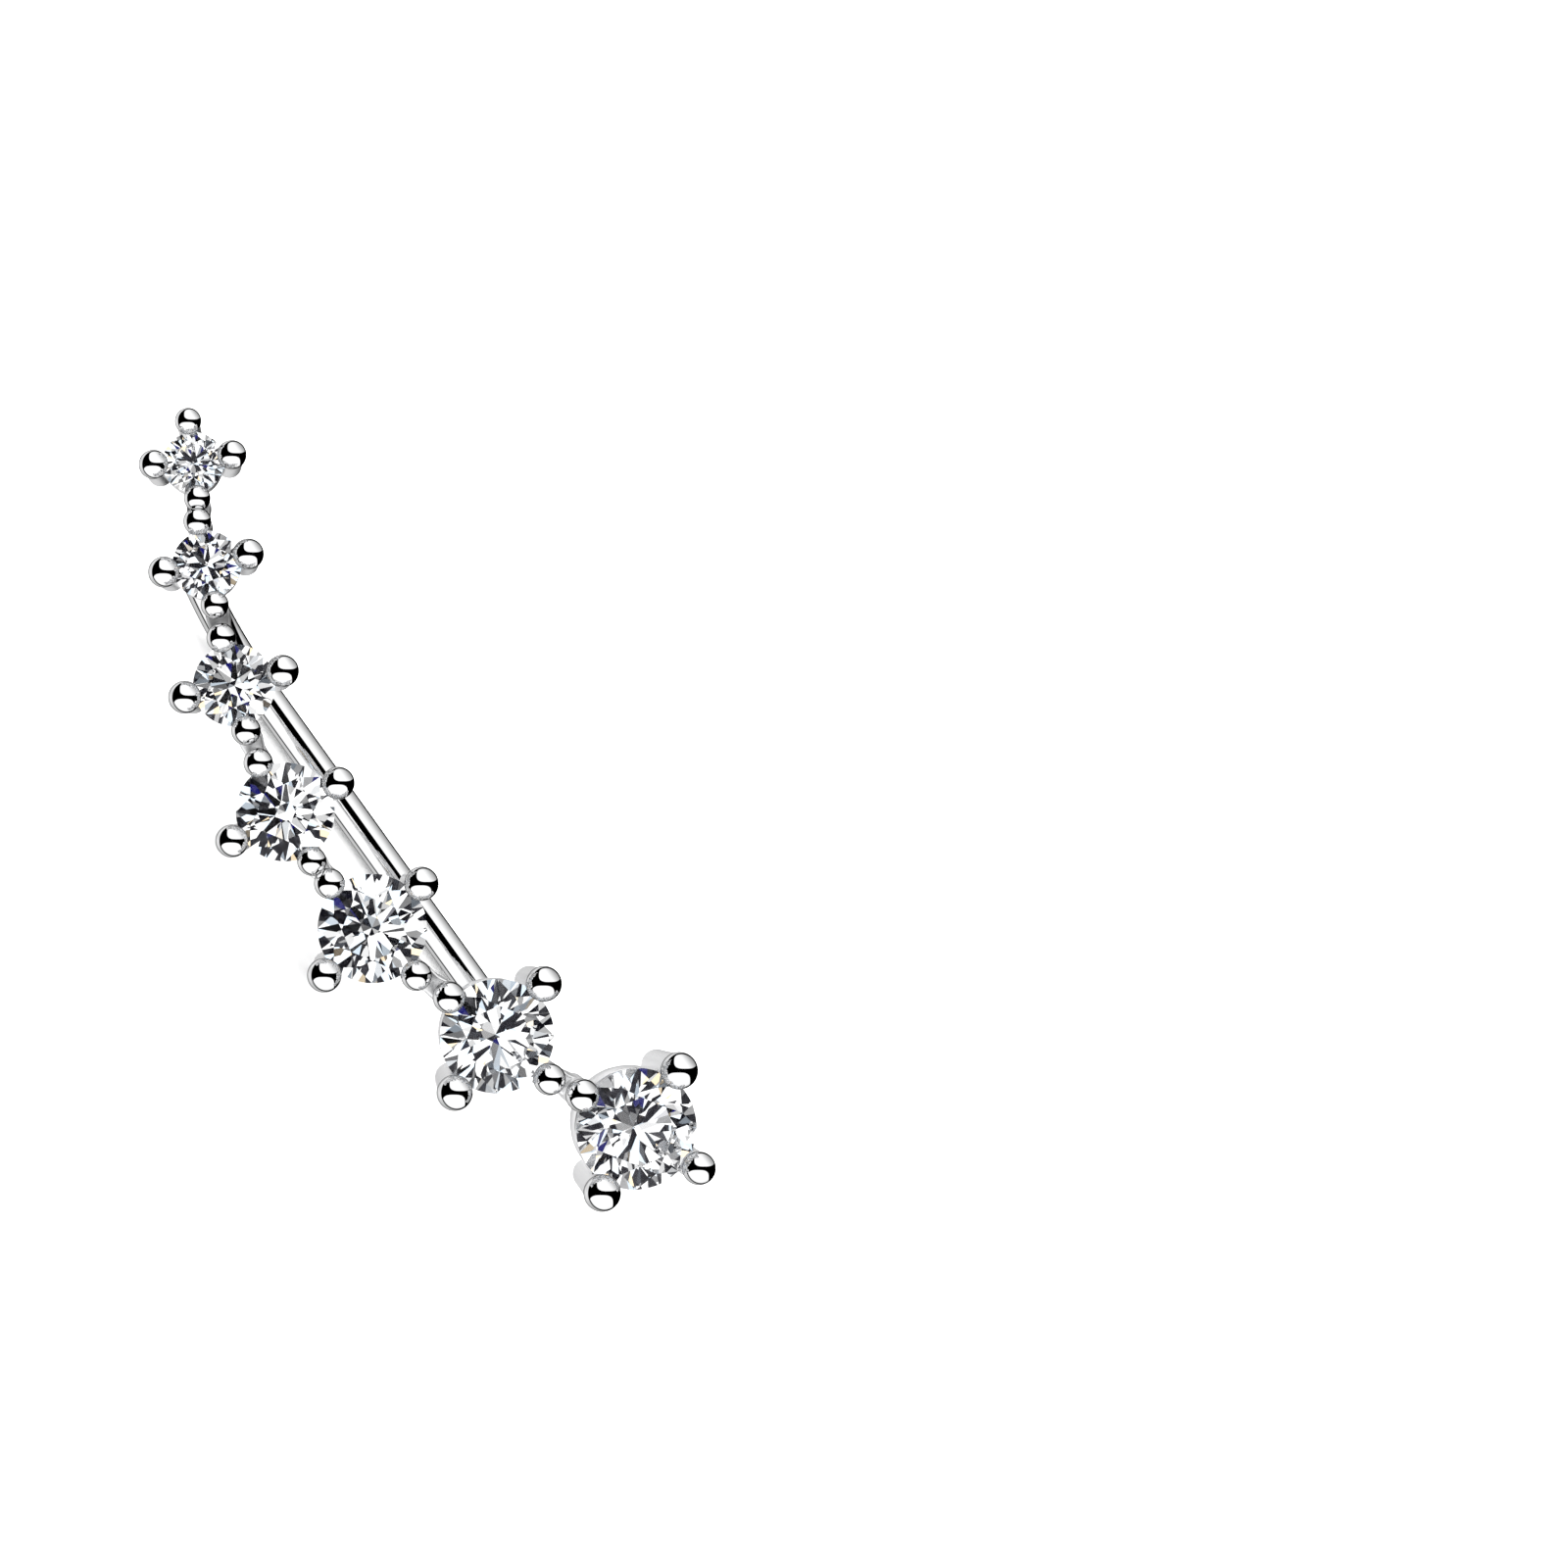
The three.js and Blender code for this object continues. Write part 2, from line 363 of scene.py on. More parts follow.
# %% [markdown]
# ## Two finishes
#
# The metal is one solid, but it isn't equally bright all over. A buffing wheel makes the round
# tips and the wire a mirror, and can't get down between the claws, so the shanks, rings and
# bars stay a little softer. Every metal part is given both materials in the same order, and
# each face says which one it wears. Boolean unions keep that, as long as the order is the same.

# %% Bright and satin silver, still plain
BRIGHT, SATIN = 0, 1
FINISHES = [bpy.data.materials.new(name) for name in ("bright_silver", "satin_silver")]


def finish(thing, which):
    for material in FINISHES:
        thing.data.materials.append(material)
    for face in thing.data.polygons:
        face.material_index = which
    return thing


print("finishes:", [material.name for material in FINISHES])

# %% [markdown]
# ## One claw, used twenty-eight times
#
# A claw is a short round wire whose end is melted into a ball and pushed over the stone. It
# could be lathed with spin, but starting from the ball keeps the ball perfectly round, and a
# mirror finish shows every flaw. So a sphere loses its underside, and the open edge is drawn
# down into the shank with a soft neck, and then closed with a small chamfer.
#
# It is made with a ball of radius one. A copy is scaled to its ball's size, and its foot is
# then pulled to the length that it needs.

# %% Draw the master claw
BALL_SEGMENTS, BALL_RINGS = 48, 40
NECK = math.sin(math.radians(27))
NECK_STEPS = ((0.10, 0.975), (0.20, 0.990))
MASTER_FOOT = -3.0
CHAMFER, CHAMFER_SHARE = 0.08, 0.90
NEAR = 0.01


def draw_down(depth, squeeze):
    bpy.ops.mesh.extrude_region_move(TRANSFORM_OT_translate={"value": (0, 0, -depth)})
    bpy.ops.transform.resize(value=(squeeze, squeeze, 1), center_override=(0, 0, 0))


let_go()
bpy.ops.mesh.primitive_uv_sphere_add(
    segments=BALL_SEGMENTS, ring_count=BALL_RINGS, radius=1
)
master_claw = named("master_claw")
edit(master_claw)
pick("VERT", lambda p: p.z < -NECK - NEAR)
bpy.ops.mesh.delete(type="VERT")
pick("EDGE", lambda p: p.z < -NECK + NEAR)
for depth, squeeze in NECK_STEPS:
    draw_down(depth, squeeze)
neck_length = sum(depth for depth, _ in NECK_STEPS)
draw_down(-MASTER_FOOT - NECK - neck_length - CHAMFER, 1.0)
draw_down(CHAMFER, CHAMFER_SHARE)
bpy.ops.mesh.edge_face_add()
bpy.ops.mesh.select_all(action="SELECT")
bpy.ops.mesh.normals_make_consistent(inside=False)
done()
finish(master_claw, BRIGHT)
for face in master_claw.data.polygons:
    if face.center.z < -NECK:
        face.material_index = SATIN
print("the master claw has", len(master_claw.data.polygons), "faces")

# %% Where a claw's tip and foot are
CLAW_FLARE = math.tan(math.radians(6))
NEIGHBOUR_CLAW = 0.90


def claw_ends(basket, side):
    """Tip, foot and ball radius. Sides 0 and 2 are across the row, 1 faces up it, 3 down."""
    reach = basket["along"] if side % 2 else basket["across"]
    foot_reach = reach - CLAW_FLARE * (basket["rise"] - basket["bottom"])
    tip = basket["place"] @ corner(reach, 2 * side, basket["rise"])
    foot = basket["place"] @ corner(foot_reach, 2 * side, basket["bottom"])
    return tip, foot, basket["tip"] * (NEIGHBOUR_CLAW if side % 2 else 1)


def make_claw(basket, side):
    tip, foot, ball = claw_ends(basket, side)
    shank = tip - foot
    claw = put(copy_of(master_claw, "claw"), Matrix.Scale(ball, 4))
    edit(claw)
    pick("VERT", lambda p: p.z < MASTER_FOOT / 2 * ball)
    stretch = -shank.length - MASTER_FOOT * ball
    bpy.ops.transform.translate(value=(0, 0, stretch))
    done()
    upright = shank.to_track_quat("Z", "Y").to_matrix().to_4x4()
    return put(claw, Matrix.Translation(tip) @ upright)


for basket in baskets:
    tip, foot, ball = claw_ends(basket, 0)
    print(f"claw {(tip - foot).length:.2f} mm long, ball {2 * ball:.2f} mm across")


# %% [markdown]
# ## Two rings to a basket
#
# A gallery ring just under the stone and a base ring at the claws' feet hold the four claws
# together. Both are flat bands with broken edges. One open band is the start of all of them:
# a copy takes its size first, then Solidify gives it its wall and Bevel breaks the edges, so
# that the bevel is as wide on a small ring as on a large one.
#
# A ring's radii are given as shares of the stone's radius. The gallery ring hugs the
# pavilion, and the base ring is smaller and 0.35 mm high.

# %% The rings
RING_SIDES = 96
BROKEN_EDGE, EDGE_STEPS = 0.035, 3
SHARP = math.radians(50)
GALLERY_OUTER, GALLERY_INNER, GALLERY_HEIGHT = 0.95, 0.76, 0.17
BASE_OUTER, BASE_INNER, BASE_HEIGHT = 0.88, 0.60, 0.35

let_go()
bpy.ops.mesh.primitive_cylinder_add(
    vertices=RING_SIDES, radius=1, depth=1, end_fill_type="NOTHING"
)
open_band = finish(named("open_band"), SATIN)


def break_edges(thing, width, steps):
    return modify(
        thing, "BEVEL", width=width, segments=steps,
        limit_method="ANGLE", angle_limit=SHARP,
    )


def make_ring(basket, outer, inner, top, height):
    ring = copy_of(open_band, "ring")
    middle = Matrix.Translation((0, 0, top - height / 2))
    put(ring, middle @ Matrix.Diagonal((outer, outer, height, 1)))
    modify(ring, "SOLIDIFY", thickness=outer - inner, offset=-1, use_even_offset=True)
    break_edges(ring, BROKEN_EDGE, EDGE_STEPS)
    return put(ring, basket["place"])


def make_basket(basket):
    radius = basket["diameter"] / 2
    height = GALLERY_HEIGHT * basket["diameter"]
    outer, inner = GALLERY_OUTER * radius, GALLERY_INNER * radius
    whole = make_ring(basket, outer, inner, -height, height)
    outer, inner = BASE_OUTER * radius, BASE_INNER * radius
    base = make_ring(basket, outer, inner, basket["bottom"] + BASE_HEIGHT, BASE_HEIGHT)
    fuse(whole, base)
    for side in range(4):
        fuse(whole, make_claw(basket, side))
    return whole


metal = [make_basket(basket) for basket in baskets]
print("seven baskets, with", sum(len(m.data.polygons) for m in metal), "faces")

# %% [markdown]
# ## The bars between the baskets
#
# Where two baskets meet, a short bar of metal joins the claws that face each other. It is a
# block with its edges rounded and its waist drawn in a little, as filing leaves it. Subdivide
# puts an edge loop round its middle, which is then squeezed.

# %% The bars
BAR_WIDTH, BAR_TOP = 0.6, -0.35
BAR_ROUNDING, ROUNDING_STEPS = 0.07, 4
WAIST, WAIST_REACH, WAIST_CUTS = 0.86, 0.1, 3


def make_bar(upper, lower):
    _, start, _ = claw_ends(upper, 3)
    _, end, _ = claw_ends(lower, 1)
    along = end - start
    height = BAR_TOP - max(upper["bottom"], lower["bottom"])
    let_go()
    bpy.ops.mesh.primitive_cube_add(size=1, location=(0, 0, 0.5))
    bpy.ops.object.transform_apply()
    bar = put(named("bar"), Matrix.Diagonal((along.length, BAR_WIDTH, height, 1)))
    finish(bar, SATIN)
    edit(bar)
    pick("EDGE", lambda p: abs(p.x) < NEAR)
    bpy.ops.mesh.subdivide(number_cuts=WAIST_CUTS)
    pick("VERT", lambda p: abs(p.x) < along.length * WAIST_REACH)
    bpy.ops.transform.resize(value=(1, WAIST, 1), center_override=(0, 0, 0))
    done()
    break_edges(bar, BAR_ROUNDING, ROUNDING_STEPS)
    forward = along.normalized()
    out = (Vector((0, 0, 1)) - forward * forward.z).normalized()
    return put(bar, standing((start + end) / 2, forward, out))


bars = [make_bar(upper, lower) for upper, lower in zip(baskets, baskets[1:])]
print(len(bars), "bars")

# %% [markdown]
# ## The ear wire and its pad
#
# The wire is one drawn wire, 0.8 mm thick. It starts in a pad that closes the back of the
# sixth basket, runs away from the row, bends and goes up behind it, and ends in a rounded tip
# that won't scratch. A Bezier curve with a round bevel is the natural way to draw a wire: its
# handles make the two bends, and the straight runs stay straight.
#
# Each bend is given by the corner that it rounds off, and by how far before and after that
# corner it starts and ends. Handles that go two thirds of the way to the corner make it
# nearly a circle.

# %% The wire's route
WIRE_RADIUS = 0.4
POST_BASKET = 5
PAD = 0.3
ALONG_RUN, ALONG_BEND = 0.3, 2 / 3
STEPS_PER_RUN, QUARTER_STEPS = 24, 10
BENDS = (
    (Vector((1.95, -5.62, -4.3)), 1.6),
    (Vector((-5.00, 4.08, -3.1)), 1.8),
)
WIRE_END = Vector((-5.74, 5.75, -2.0))

holder = baskets[POST_BASKET]
root = holder["place"] @ Vector((0, 0, holder["bottom"] + PAD / 2))
route = [root, *(bend for bend, _ in BENDS), WIRE_END]
knots = [(root, None, root.lerp(BENDS[0][0], ALONG_RUN))]
for n, (bend, reach) in enumerate(BENDS, 1):
    before = bend + (route[n - 1] - bend).normalized() * reach
    after = bend + (route[n + 1] - bend).normalized() * reach
    arriving = before.lerp(route[n - 1], ALONG_RUN)
    leaving = after.lerp(route[n + 1], ALONG_RUN)
    knots.append((before, arriving, before.lerp(bend, ALONG_BEND)))
    knots.append((after, after.lerp(bend, ALONG_BEND), leaving))
knots.append((WIRE_END, WIRE_END.lerp(knots[-1][0], ALONG_RUN), None))

let_go()
bpy.ops.curve.primitive_bezier_curve_add()
curve = bpy.context.object
spline = curve.data.splines[0]
spline.bezier_points.add(len(knots) - len(spline.bezier_points))
for point, (at, left, right) in zip(spline.bezier_points, knots):
    point.handle_left_type = point.handle_right_type = "FREE"
    point.co = at
    point.handle_left = left or at - (right - at)
    point.handle_right = right or at + (at - left)
curve.data.dimensions = "3D"
curve.data.resolution_u = STEPS_PER_RUN
curve.data.bevel_depth = WIRE_RADIUS
curve.data.bevel_resolution = QUARTER_STEPS
curve.data.use_fill_caps = True
print("the wire is", round(spline.calc_length(), 1), "mm long")

# %% The wire as a solid, with its round tip
take(curve)
bpy.ops.object.convert(target="MESH")
wire = named("wire")
edit(wire)
bpy.ops.mesh.select_all(action="SELECT")
bpy.ops.mesh.remove_doubles(threshold=MERGE)
bpy.ops.mesh.normals_make_consistent(inside=False)
done()

sides = 4 * (QUARTER_STEPS + 1)
let_go()
bpy.ops.mesh.primitive_uv_sphere_add(
    segments=sides, ring_count=sides // 2, radius=WIRE_RADIUS
)
wire_tip = put(named("wire_tip"), Matrix.Translation(WIRE_END))
for part in (wire, wire_tip):
    finish(part, BRIGHT)
fuse(wire, wire_tip)
print("the wire has", len(wire.data.polygons), "faces with its tip")

# %% The pad
pad_radius = BASE_OUTER * holder["diameter"] / 2
let_go()
bpy.ops.mesh.primitive_cylinder_add(vertices=RING_SIDES, radius=pad_radius, depth=PAD)
pad = finish(named("pad"), BRIGHT)
break_edges(pad, BROKEN_EDGE, EDGE_STEPS)
pad_middle = Matrix.Translation((0, 0, holder["bottom"] + PAD / 2))
put(pad, holder["place"] @ pad_middle)
print(f"the pad is {2 * pad_radius:.2f} mm across")

# %% [markdown]
# ## Soldering and seating
#
# Solder makes all the metal one piece, and Boolean unions do the same. Then every stone gets
# its seat: the claws are notched with a copy of the stone that is a hair larger, so that metal
# and stone never touch. The stones themselves are copies of the one brilliant, each scaled to
# its own diameter, and all with their facets the same way round.

# %% Solder the metal into one solid
whole = metal[0]
for part in [*metal[1:], *bars, wire, pad]:
    fuse(whole, part)
print("one solid with", len(whole.data.polygons), "faces")

# %% Notch it for the stones, and set them
SEAT_GAP = 0.04
SMOOTH_UNDER = math.radians(30)
set_stones = []
for basket in baskets:
    size = basket["diameter"] + 2 * SEAT_GAP
    seat = put(copy_of(brilliant, "seat"), basket["stone_place"] @ Matrix.Scale(size, 4))
    modify(whole, "BOOLEAN", operation="DIFFERENCE", solver="MANIFOLD", object=seat)
    scrap(seat)
    cut = copy_of(brilliant, f"{basket['node']}_cut")
    put(cut, basket["stone_place"] @ Matrix.Scale(basket["diameter"], 4))
    put(cut, laid_down)
    set_stones.append(cut)
    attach(cut, "root")
    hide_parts(basket["node"])

take(whole)
named("climber_polished")
edit(whole)
bpy.ops.mesh.select_all(action="SELECT")
bpy.ops.mesh.remove_doubles(threshold=MERGE)
done()
put(whole, laid_down)
bpy.ops.object.shade_smooth_by_angle(angle=SMOOTH_UNDER)
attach(whole, "root")
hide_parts("climber_frame")
for master in (brilliant, master_claw, open_band):
    scrap(master)
print("the polished climber has", len(whole.data.polygons), "faces")

# %% [markdown]
# ## Materials as sums
#
# Shader graphs grow quickly, so two small classes keep them readable. A Bench adds a node from
# its type, its settings and its inputs. A Flow is one socket of a node that can be used in a
# sum: adding or multiplying it makes the Math node that does so.


# %% A bench for shader nodes
class Flow:
    """A number that runs through a shader, to be used in sums."""

    def __init__(self, bench, socket):
        self.bench, self.socket = bench, socket

    def maths(self, operation, *values):
        return self.bench.add("ShaderNodeMath", {"operation": operation}, *values)

    def __add__(self, other):
        return self.maths("ADD", self, other)

    def __sub__(self, other):
        return self.maths("SUBTRACT", self, other)

    def __rsub__(self, other):
        return self.maths("SUBTRACT", other, self)

    def __mul__(self, other):
        return self.maths("MULTIPLY", self, other)

    def __pow__(self, other):
        return self.maths("POWER", self, other)

    def __abs__(self):
        return self.maths("ABSOLUTE", self)

    __radd__, __rmul__ = __add__, __mul__


class Bench:
    """A node tree with one way to add a node."""

    def __init__(self, tree):
        self.tree = tree
        tree.nodes.clear()

    def add(self, kind, settings=None, *inputs, at=None, output=0, **named_inputs):
        """Inputs go by order, by number in at, or by name with _ for a space."""
        node = self.tree.nodes.new(kind)
        for setting, value in (settings or {}).items():
            setattr(node, setting, value)
        wanted = {**dict(enumerate(inputs)), **(at or {}), **named_inputs}
        for key, value in wanted.items():
            socket = node.inputs[key if isinstance(key, int) else key.replace("_", " ")]
            if isinstance(value, Flow):
                self.tree.links.new(value.socket, socket)
            elif socket.type == "RGBA":
                socket.default_value = (*value, 1.0)
            else:
                socket.default_value = value
        return Flow(self, node.outputs[output]) if node.outputs else node

    def mix(self, share, one, other):
        """One colour where share is 0, the other where it is 1."""
        colours = {6: one, 7: other}
        return self.add("ShaderNodeMix", {"data_type": "RGBA"}, share, at=colours, output=2)

    def noise(self, where, scale, detail=2.0, **sockets):
        return self.add(
            "ShaderNodeTexNoise", None, Vector=where, Scale=scale, Detail=detail, **sockets
        )

    def sweep(self, value, start, stop, low=0.0, high=1.0):
        """Goes smoothly from low to high while value goes from start to stop."""
        return self.add(
            "ShaderNodeMapRange", {"interpolation_type": "SMOOTHSTEP"},
            value, start, stop, low, high,
        )


print("made", Flow.__name__, "for the sums and", Bench.__name__, "for the nodes")


# %% [markdown]
# ## Bright and satin silver
#
# The metal is silver with a bright rhodium flash. Where it is buffed it is a mirror, which has
# next to no colour of its own, so its detail is in the polish: a fine unevenness where the buff
# has touched more or less, and a faint ripple that makes reflections look like metal and not
# like glass. The satin places are the same metal, rougher and with a finer grain. All of it
# reads Object coordinates, which are in metres, so a scale of 900 is a pattern of about a
# millimetre that stays put on the piece. The specular tint sets how bright the metal is
# where it turns away from the eye. It is low for the mirrors, and so draws a thin dark
# outline round every tip and along the wire.


# %% The two silvers
SILVER = (0.955, 0.958, 0.965)
BUFFING_SCALE = 900.0
RIPPLE_DEPTH = 0.00002


def silver(material, roughness, spread, ripple, strength, rim):
    material.use_nodes = True
    bench = Bench(material.node_tree)
    here = bench.add("ShaderNodeTexCoord", output="Object")
    buffing = bench.noise(here, BUFFING_SCALE, detail=4.0, Roughness=0.6)
    bump = bench.add(
        "ShaderNodeBump", None,
        Height=bench.noise(here, ripple), Strength=strength, Distance=RIPPLE_DEPTH,
    )
    shader = bench.add(
        "ShaderNodeBsdfPrincipled", None,
        Base_Color=SILVER,
        Metallic=1.0,
        Roughness=buffing * spread + roughness,
        Specular_Tint=(rim, rim, rim),
        Normal=bump,
    )
    bench.add("ShaderNodeOutputMaterial", None, Surface=shader)
    print(material.name, len(material.node_tree.nodes), "nodes")


silver(
    FINISHES[BRIGHT], roughness=0.01, spread=0.03, ripple=500.0, strength=0.04, rim=0.20
)
silver(
    FINISHES[SATIN], roughness=0.22, spread=0.14, ripple=6000.0, strength=0.06, rim=1.0
)

# %% [markdown]
# ## The stones' fire
#
# The stones are cubic zirconia: colourless, and with a refractive index of 2.16 almost as
# strong a bender of light as diamond. Their life is all reflection inside the facets, so the
# material is clear glass with that index, and the facets do the rest. The glass is a trace
# bluer in some places than in others. The glare on top of the facets is turned down, because
# it would lay a veil over what goes on inside.

# %% Clear stone
REFRACTIVE_INDEX = 2.16
COLOURLESS, TRACE_OF_BLUE = (1.0, 1.0, 1.0), (0.985, 0.99, 1.0)
TOP_GLARE = (0.15, 0.15, 0.17)
TINT_SCALE = 1200.0

crystal = bpy.data.materials.new("clear_brilliant")
crystal.use_nodes = True
bench = Bench(crystal.node_tree)
here = bench.add("ShaderNodeTexCoord", output="Object")
tint = bench.mix(bench.noise(here, TINT_SCALE, detail=3.0), TRACE_OF_BLUE, COLOURLESS)
stone_shader = bench.add(
    "ShaderNodeBsdfPrincipled", None,
    Base_Color=tint,
    Roughness=0.0,
    IOR=REFRACTIVE_INDEX,
    Transmission_Weight=1.0,
    Specular_Tint=TOP_GLARE,
)
bench.add("ShaderNodeOutputMaterial", None, Surface=stone_shader)
for cut in set_stones:
    cut.data.materials.clear()
    cut.data.materials.append(crystal)
print(crystal.name, "is on", len(set_stones), "stones")

# %% [markdown]
# ## A room for every kind of ray
#
# A mirror shows its surroundings, so polished jewellery is lit by what stands round it. Area
# lights would do for a matt thing, but here the room itself is the light, so it is painted on
# the world.
#
# The metal and the stones want different rooms, and a jeweller's studio lights them one after
# the other. The Light Path node does both at once, because it tells the kinds of ray apart.
# Rays off the metal see soft lamps, rays out of a stone see crumpled white paper, the camera
# itself sees a pale backdrop, and the matt floor gets an even light.

# %% An empty room, and how to look round it
MIRROR_LIGHT, STONE_LIGHT, MATT_LIGHT, PALE = 1.08, 1.45, 2.7, 0.99

world = bpy.data.worlds.new("tent")
bpy.context.scene.world = world
world.use_nodes = True
world.cycles.sampling_method = "NONE"
bench = Bench(world.node_tree)
ray = bench.add("ShaderNodeTexCoord", output="Generated")
on_camera, mirrored, through = (
    bench.add("ShaderNodeLightPath", output=f"Is {kind} Ray")
    for kind in ("Camera", "Glossy", "Transmission")
)


def vectors(operation, *values, **settings):
    return bench.add("ShaderNodeVectorMath", {"operation": operation}, *values, **settings)


def along_way(flow, way):
    return vectors("DOT_PRODUCT", flow, tuple(way), output=1)


def grey(level):
    return bench.add("ShaderNodeCombineColor", None, level, level, level)


print("the room is", world.name)

# %% [markdown]
# ## What the metal sees
#
# A ball shows the whole room in one disc. What stands before it is in the middle, what stands
# behind it is all along the rim. Twenty-eight round tips are twenty-eight such balls, and
# they decide how the metal looks. So the room is laid out by where each thing shows on a
# ball that is looked at from straight above the row. The surface there faces half way
# between the ray and the way to the eye, so their sum, made one long, gives its place.
#
# There are two soft lamps, ovals with a dark gap between them, which shows as a black waist.
# The upper one fades to its right, which rounds off the wire. Round both is a thin dark
# window frame. All behind that is pale, in broad soft billows, and a little darker below and
# right at the back. The room never moves, so from elsewhere the reflections slide as real
# ones do.

# %% The lamps, their window and the pale back
middle_way = vectors("ADD", ray, tuple(face_way))
on_ball = vectors("NORMALIZE", middle_way)
facing = along_way(ray, face_way)
row_right, row_up = (turned @ Vector(way) for way in ((1, 0, 0), (0, 1, 0)))
ball_x, ball_y = along_way(on_ball, row_right), along_way(on_ball, row_up)


def oval(middle, reach, power):
    """0 in the middle of an oval on the ball and 1 on its edge. A high power squares it."""
    across, up = (
        abs(at - centre) * (1 / half)
        for at, centre, half in zip((ball_x, ball_y), middle, reach)
    )
    return across**power + up**power


def inside(shape, edge=1.0, soft=0.05):
    """1 inside an oval and 0 outside it, with a soft edge."""
    return bench.sweep(shape, edge + soft, edge - soft)


ROUND, SQUARISH = 2.0, 3.0
window = oval(middle=(0.12, 0.0), reach=(0.87, 0.94), power=ROUND)
upper = oval(middle=(0.33, 0.50), reach=(0.60, 0.39), power=SQUARISH)
lower = oval(middle=(-0.04, -0.51), reach=(0.61, 0.41), power=SQUARISH)

FADES_RIGHT, FADES_UP = 0.81, 0.58
sideways = ball_x * FADES_RIGHT + ball_y * FADES_UP
fading = bench.sweep(sideways, start=0.45, stop=0.92, low=1.0, high=0.40)
front = (inside(upper) * fading + inside(lower)) * inside(window, edge=0.85)

BILLOW_SCALE = 1.6
far_back = bench.sweep(facing, start=-1.0, stop=-0.78, low=0.76)
from_below = bench.sweep(along_way(ray, row_up), start=-0.8, stop=0.8, low=0.72)
billows = bench.sweep(bench.noise(ray, BILLOW_SCALE), start=0.40, stop=0.60, low=0.76)
back = bench.sweep(window, start=0.98, stop=1.03) * far_back * from_below * billows
in_mirrors = grey((front + back) * MIRROR_LIGHT)
print("the metal's room takes", len(world.node_tree.nodes), "nodes")

# %% [markdown]
# ## What the stones see
#
# A brilliant is a kaleidoscope: each facet shows another small part of the room. In an even
# room it is flat and grey, and in a finely broken one it glitters. So the stones see white
# paper that is crumpled and torn. Noise makes the folds, and the cells of a Voronoi pattern
# make shards with sharp edges. The paper is dark in its folds, and a trace of blue or amber
# here and there stands in for the stones' fire.
#
# Four cards hang before it, each a spot in one direction of the row's frame: a white and a
# black one near the eye for the middle of the stones, a deep blue one that each stone catches
# as one spark, and a grey one to the side.

# %% Crumpled paper and four cards
FOLD_SCALE, SHARD_SCALE, HUE_SCALE = 8.0, 28.0, 3.7
SHARD_SHARE = 0.5
WHITE, DARK, IN_THE_FOLDS = (1.0, 1.0, 1.0), (0.004, 0.004, 0.004), (0.004, 0.004, 0.006)
ICE, AMBER = (0.76, 0.88, 1.0), (1.0, 0.82, 0.56)
DEEP_BLUE, MIST = (0.004, 0.004, 0.10), (0.28, 0.28, 0.28)
CARDS = (
    ((0.13, -0.03, 0.99), 4.0, WHITE),
    ((-0.08, 0.0, 0.99), 6.0, DARK),
    ((0.07, 0.29, 0.95), 3.5, DEEP_BLUE),
    ((0.61, -0.28, 0.74), 7.0, MIST),
)
CARD_SOFTNESS = 1.5

shards = bench.add(
    "ShaderNodeTexVoronoi", {"feature": "F1"}, Vector=ray, Scale=SHARD_SCALE, output=1
)
shard = bench.add("ShaderNodeSeparateColor", None, shards)
folds = bench.noise(ray, FOLD_SCALE, Roughness=0.55)
lit = bench.sweep(folds + shard * SHARD_SHARE, start=0.66, stop=0.91)
hue = bench.noise(ray, HUE_SCALE, detail=0.0)
sheet = bench.mix(bench.sweep(hue, start=0.54, stop=0.66), WHITE, ICE)
sheet = bench.mix(bench.sweep(hue, start=0.29, stop=0.26), sheet, AMBER)
in_stones = bench.mix(lit, IN_THE_FOLDS, sheet)
for way, degrees, colour in CARDS:
    towards = along_way(ray, turned @ Vector(way).normalized())
    rim, full = (math.cos(math.radians(degrees + s)) for s in (CARD_SOFTNESS, 0))
    in_stones = bench.mix(bench.sweep(towards, rim, full), in_stones, colour)
in_stones = vectors("SCALE", in_stones, Scale=STONE_LIGHT)
print(len(CARDS), "cards, and", len(world.node_tree.nodes), "nodes so far")

# %% Each kind of ray gets its own
seen = bench.mix(mirrored, (MATT_LIGHT,) * 3, in_mirrors)
seen = bench.mix(through, seen, in_stones)
seen = bench.mix(on_camera, seen, (PALE,) * 3)
light = bench.add("ShaderNodeBackground", None, Color=seen, Strength=1.0)
bench.add("ShaderNodeOutputWorld", None, Surface=light)
print("the whole room takes", len(world.node_tree.nodes), "nodes")

# %% [markdown]
# ## The floor
#
# The earring lies on a plain pale floor of matt paper. It is left out of the mirrors and of
# the stones, as if it were clear, because the room goes on beneath it.

# %% The floor
FLOOR_SIZE = 6.0
PAPER = (0.86, 0.86, 0.86)

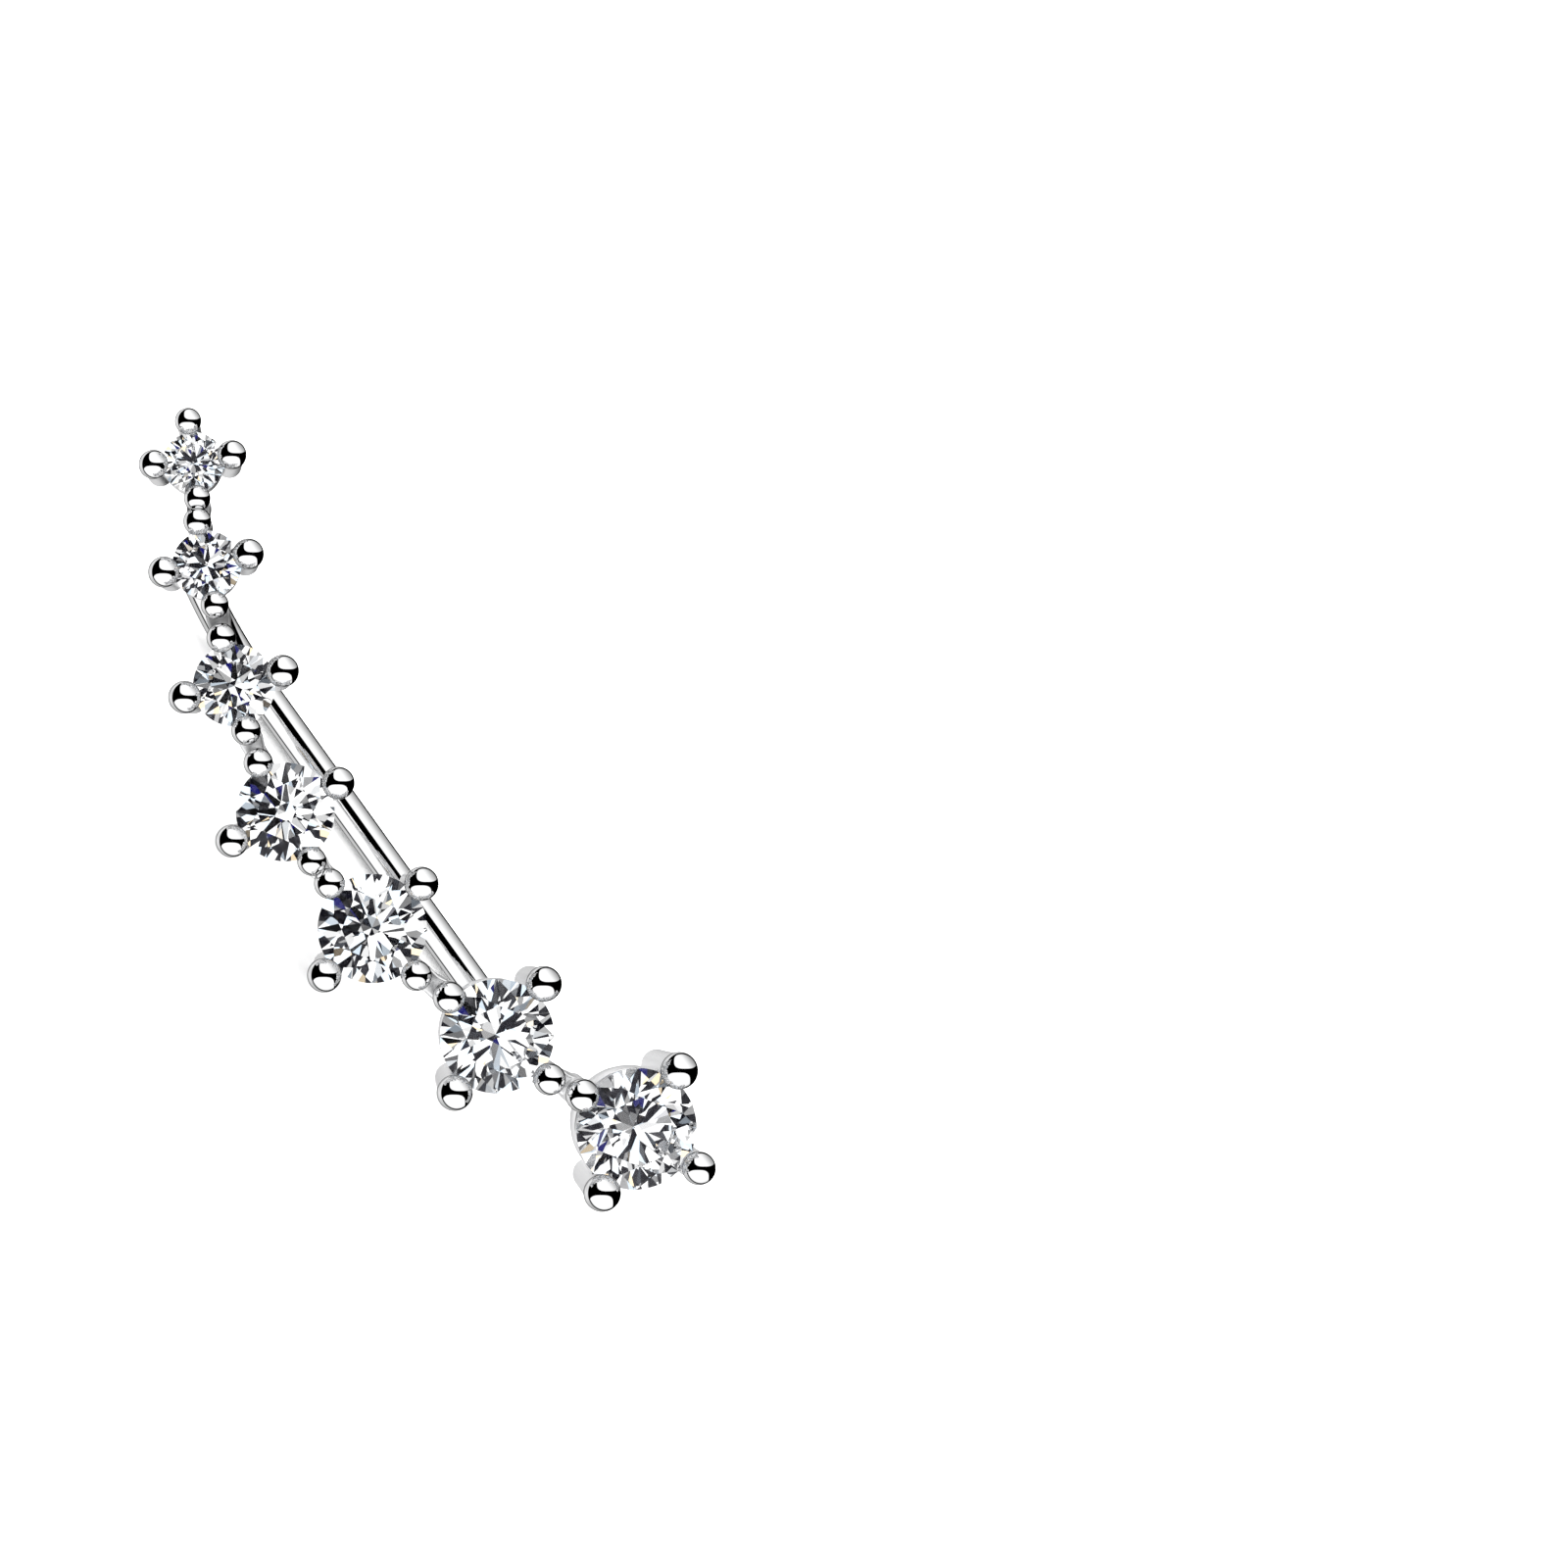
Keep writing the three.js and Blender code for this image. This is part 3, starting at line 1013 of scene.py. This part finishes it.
let_go()
bpy.ops.mesh.primitive_plane_add(size=FLOOR_SIZE)
floor = named("floor")
floor.visible_glossy = False
floor.visible_transmission = False
paper = bpy.data.materials.new("pale_floor")
paper.use_nodes = True
bench = Bench(paper.node_tree)
matt_paper = bench.add(
    "ShaderNodeBsdfPrincipled", None,
    Base_Color=PAPER, Roughness=0.9, Specular_IOR_Level=0.0,
)
bench.add("ShaderNodeOutputMaterial", None, Surface=matt_paper)
floor.data.materials.append(paper)
floor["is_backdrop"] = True
print("the floor is", FLOOR_SIZE, "m wide")

# %% [markdown]
# ## The camera
#
# The camera looks straight at the faces of the row, and stands the row upright in its view.
# That is a steep roll, because the earring lies on its side. A very long lens keeps the
# stones' sizes true to each other. The view is 38.1 mm wide, and its middle is well to the
# right of the row, in the row's own frame.

# %% The camera
LENS, SENSOR = 600.0, 36.0
NEAREST, FARTHEST = 0.01, 20.0
VIEW_WIDTH = 38.1
VIEW_MIDDLE = Vector((8.643, 0.571, 0.3))

camera_data = bpy.data.cameras.new("camera")
camera_data.lens, camera_data.sensor_width = LENS, SENSOR
camera_data.clip_start, camera_data.clip_end = NEAREST, FARTHEST
camera = bpy.data.objects.new("camera", camera_data)
bpy.context.collection.objects.link(camera)
distance = VIEW_WIDTH * LENS / SENSOR
eye = laid_down @ (VIEW_MIDDLE + Vector((0, 0, distance)))
camera.matrix_world = Matrix.Translation(eye) @ turned.to_4x4()
bpy.context.scene.camera = camera
print("the camera is", round(distance * MM, 3), "m away")

# %% [markdown]
# ## Enough bounces
#
# Light goes to and fro in a brilliant many times before it finds its way out. Every ray that
# is given up too early leaves a black facet, so the limits are raised well above the usual
# twelve. The Standard view shows white as white, which suits a pale room.

# %% Let the light out of the stones
BOUNCES_IN_ALL, BOUNCES_OF_A_KIND = 24, 20

scene = bpy.context.scene
scene.view_settings.view_transform = "Standard"
scene.cycles.max_bounces = BOUNCES_IN_ALL
scene.cycles.glossy_bounces = BOUNCES_OF_A_KIND
scene.cycles.transmission_bounces = BOUNCES_OF_A_KIND
print("bounces:", scene.cycles.max_bounces)

# %% [markdown]
# ## Measuring the result
#
# Finer claws, rings and stones must not make the earring any larger than the frame it came
# in with. Both boxes are written down, so that they can be compared.

# %% Sizes, and the last line
new_low, new_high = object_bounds()
new_size = [round((high - low) / MM, 2) for low, high in zip(new_low, new_high)]
print("the finished size, in mm:", new_size)
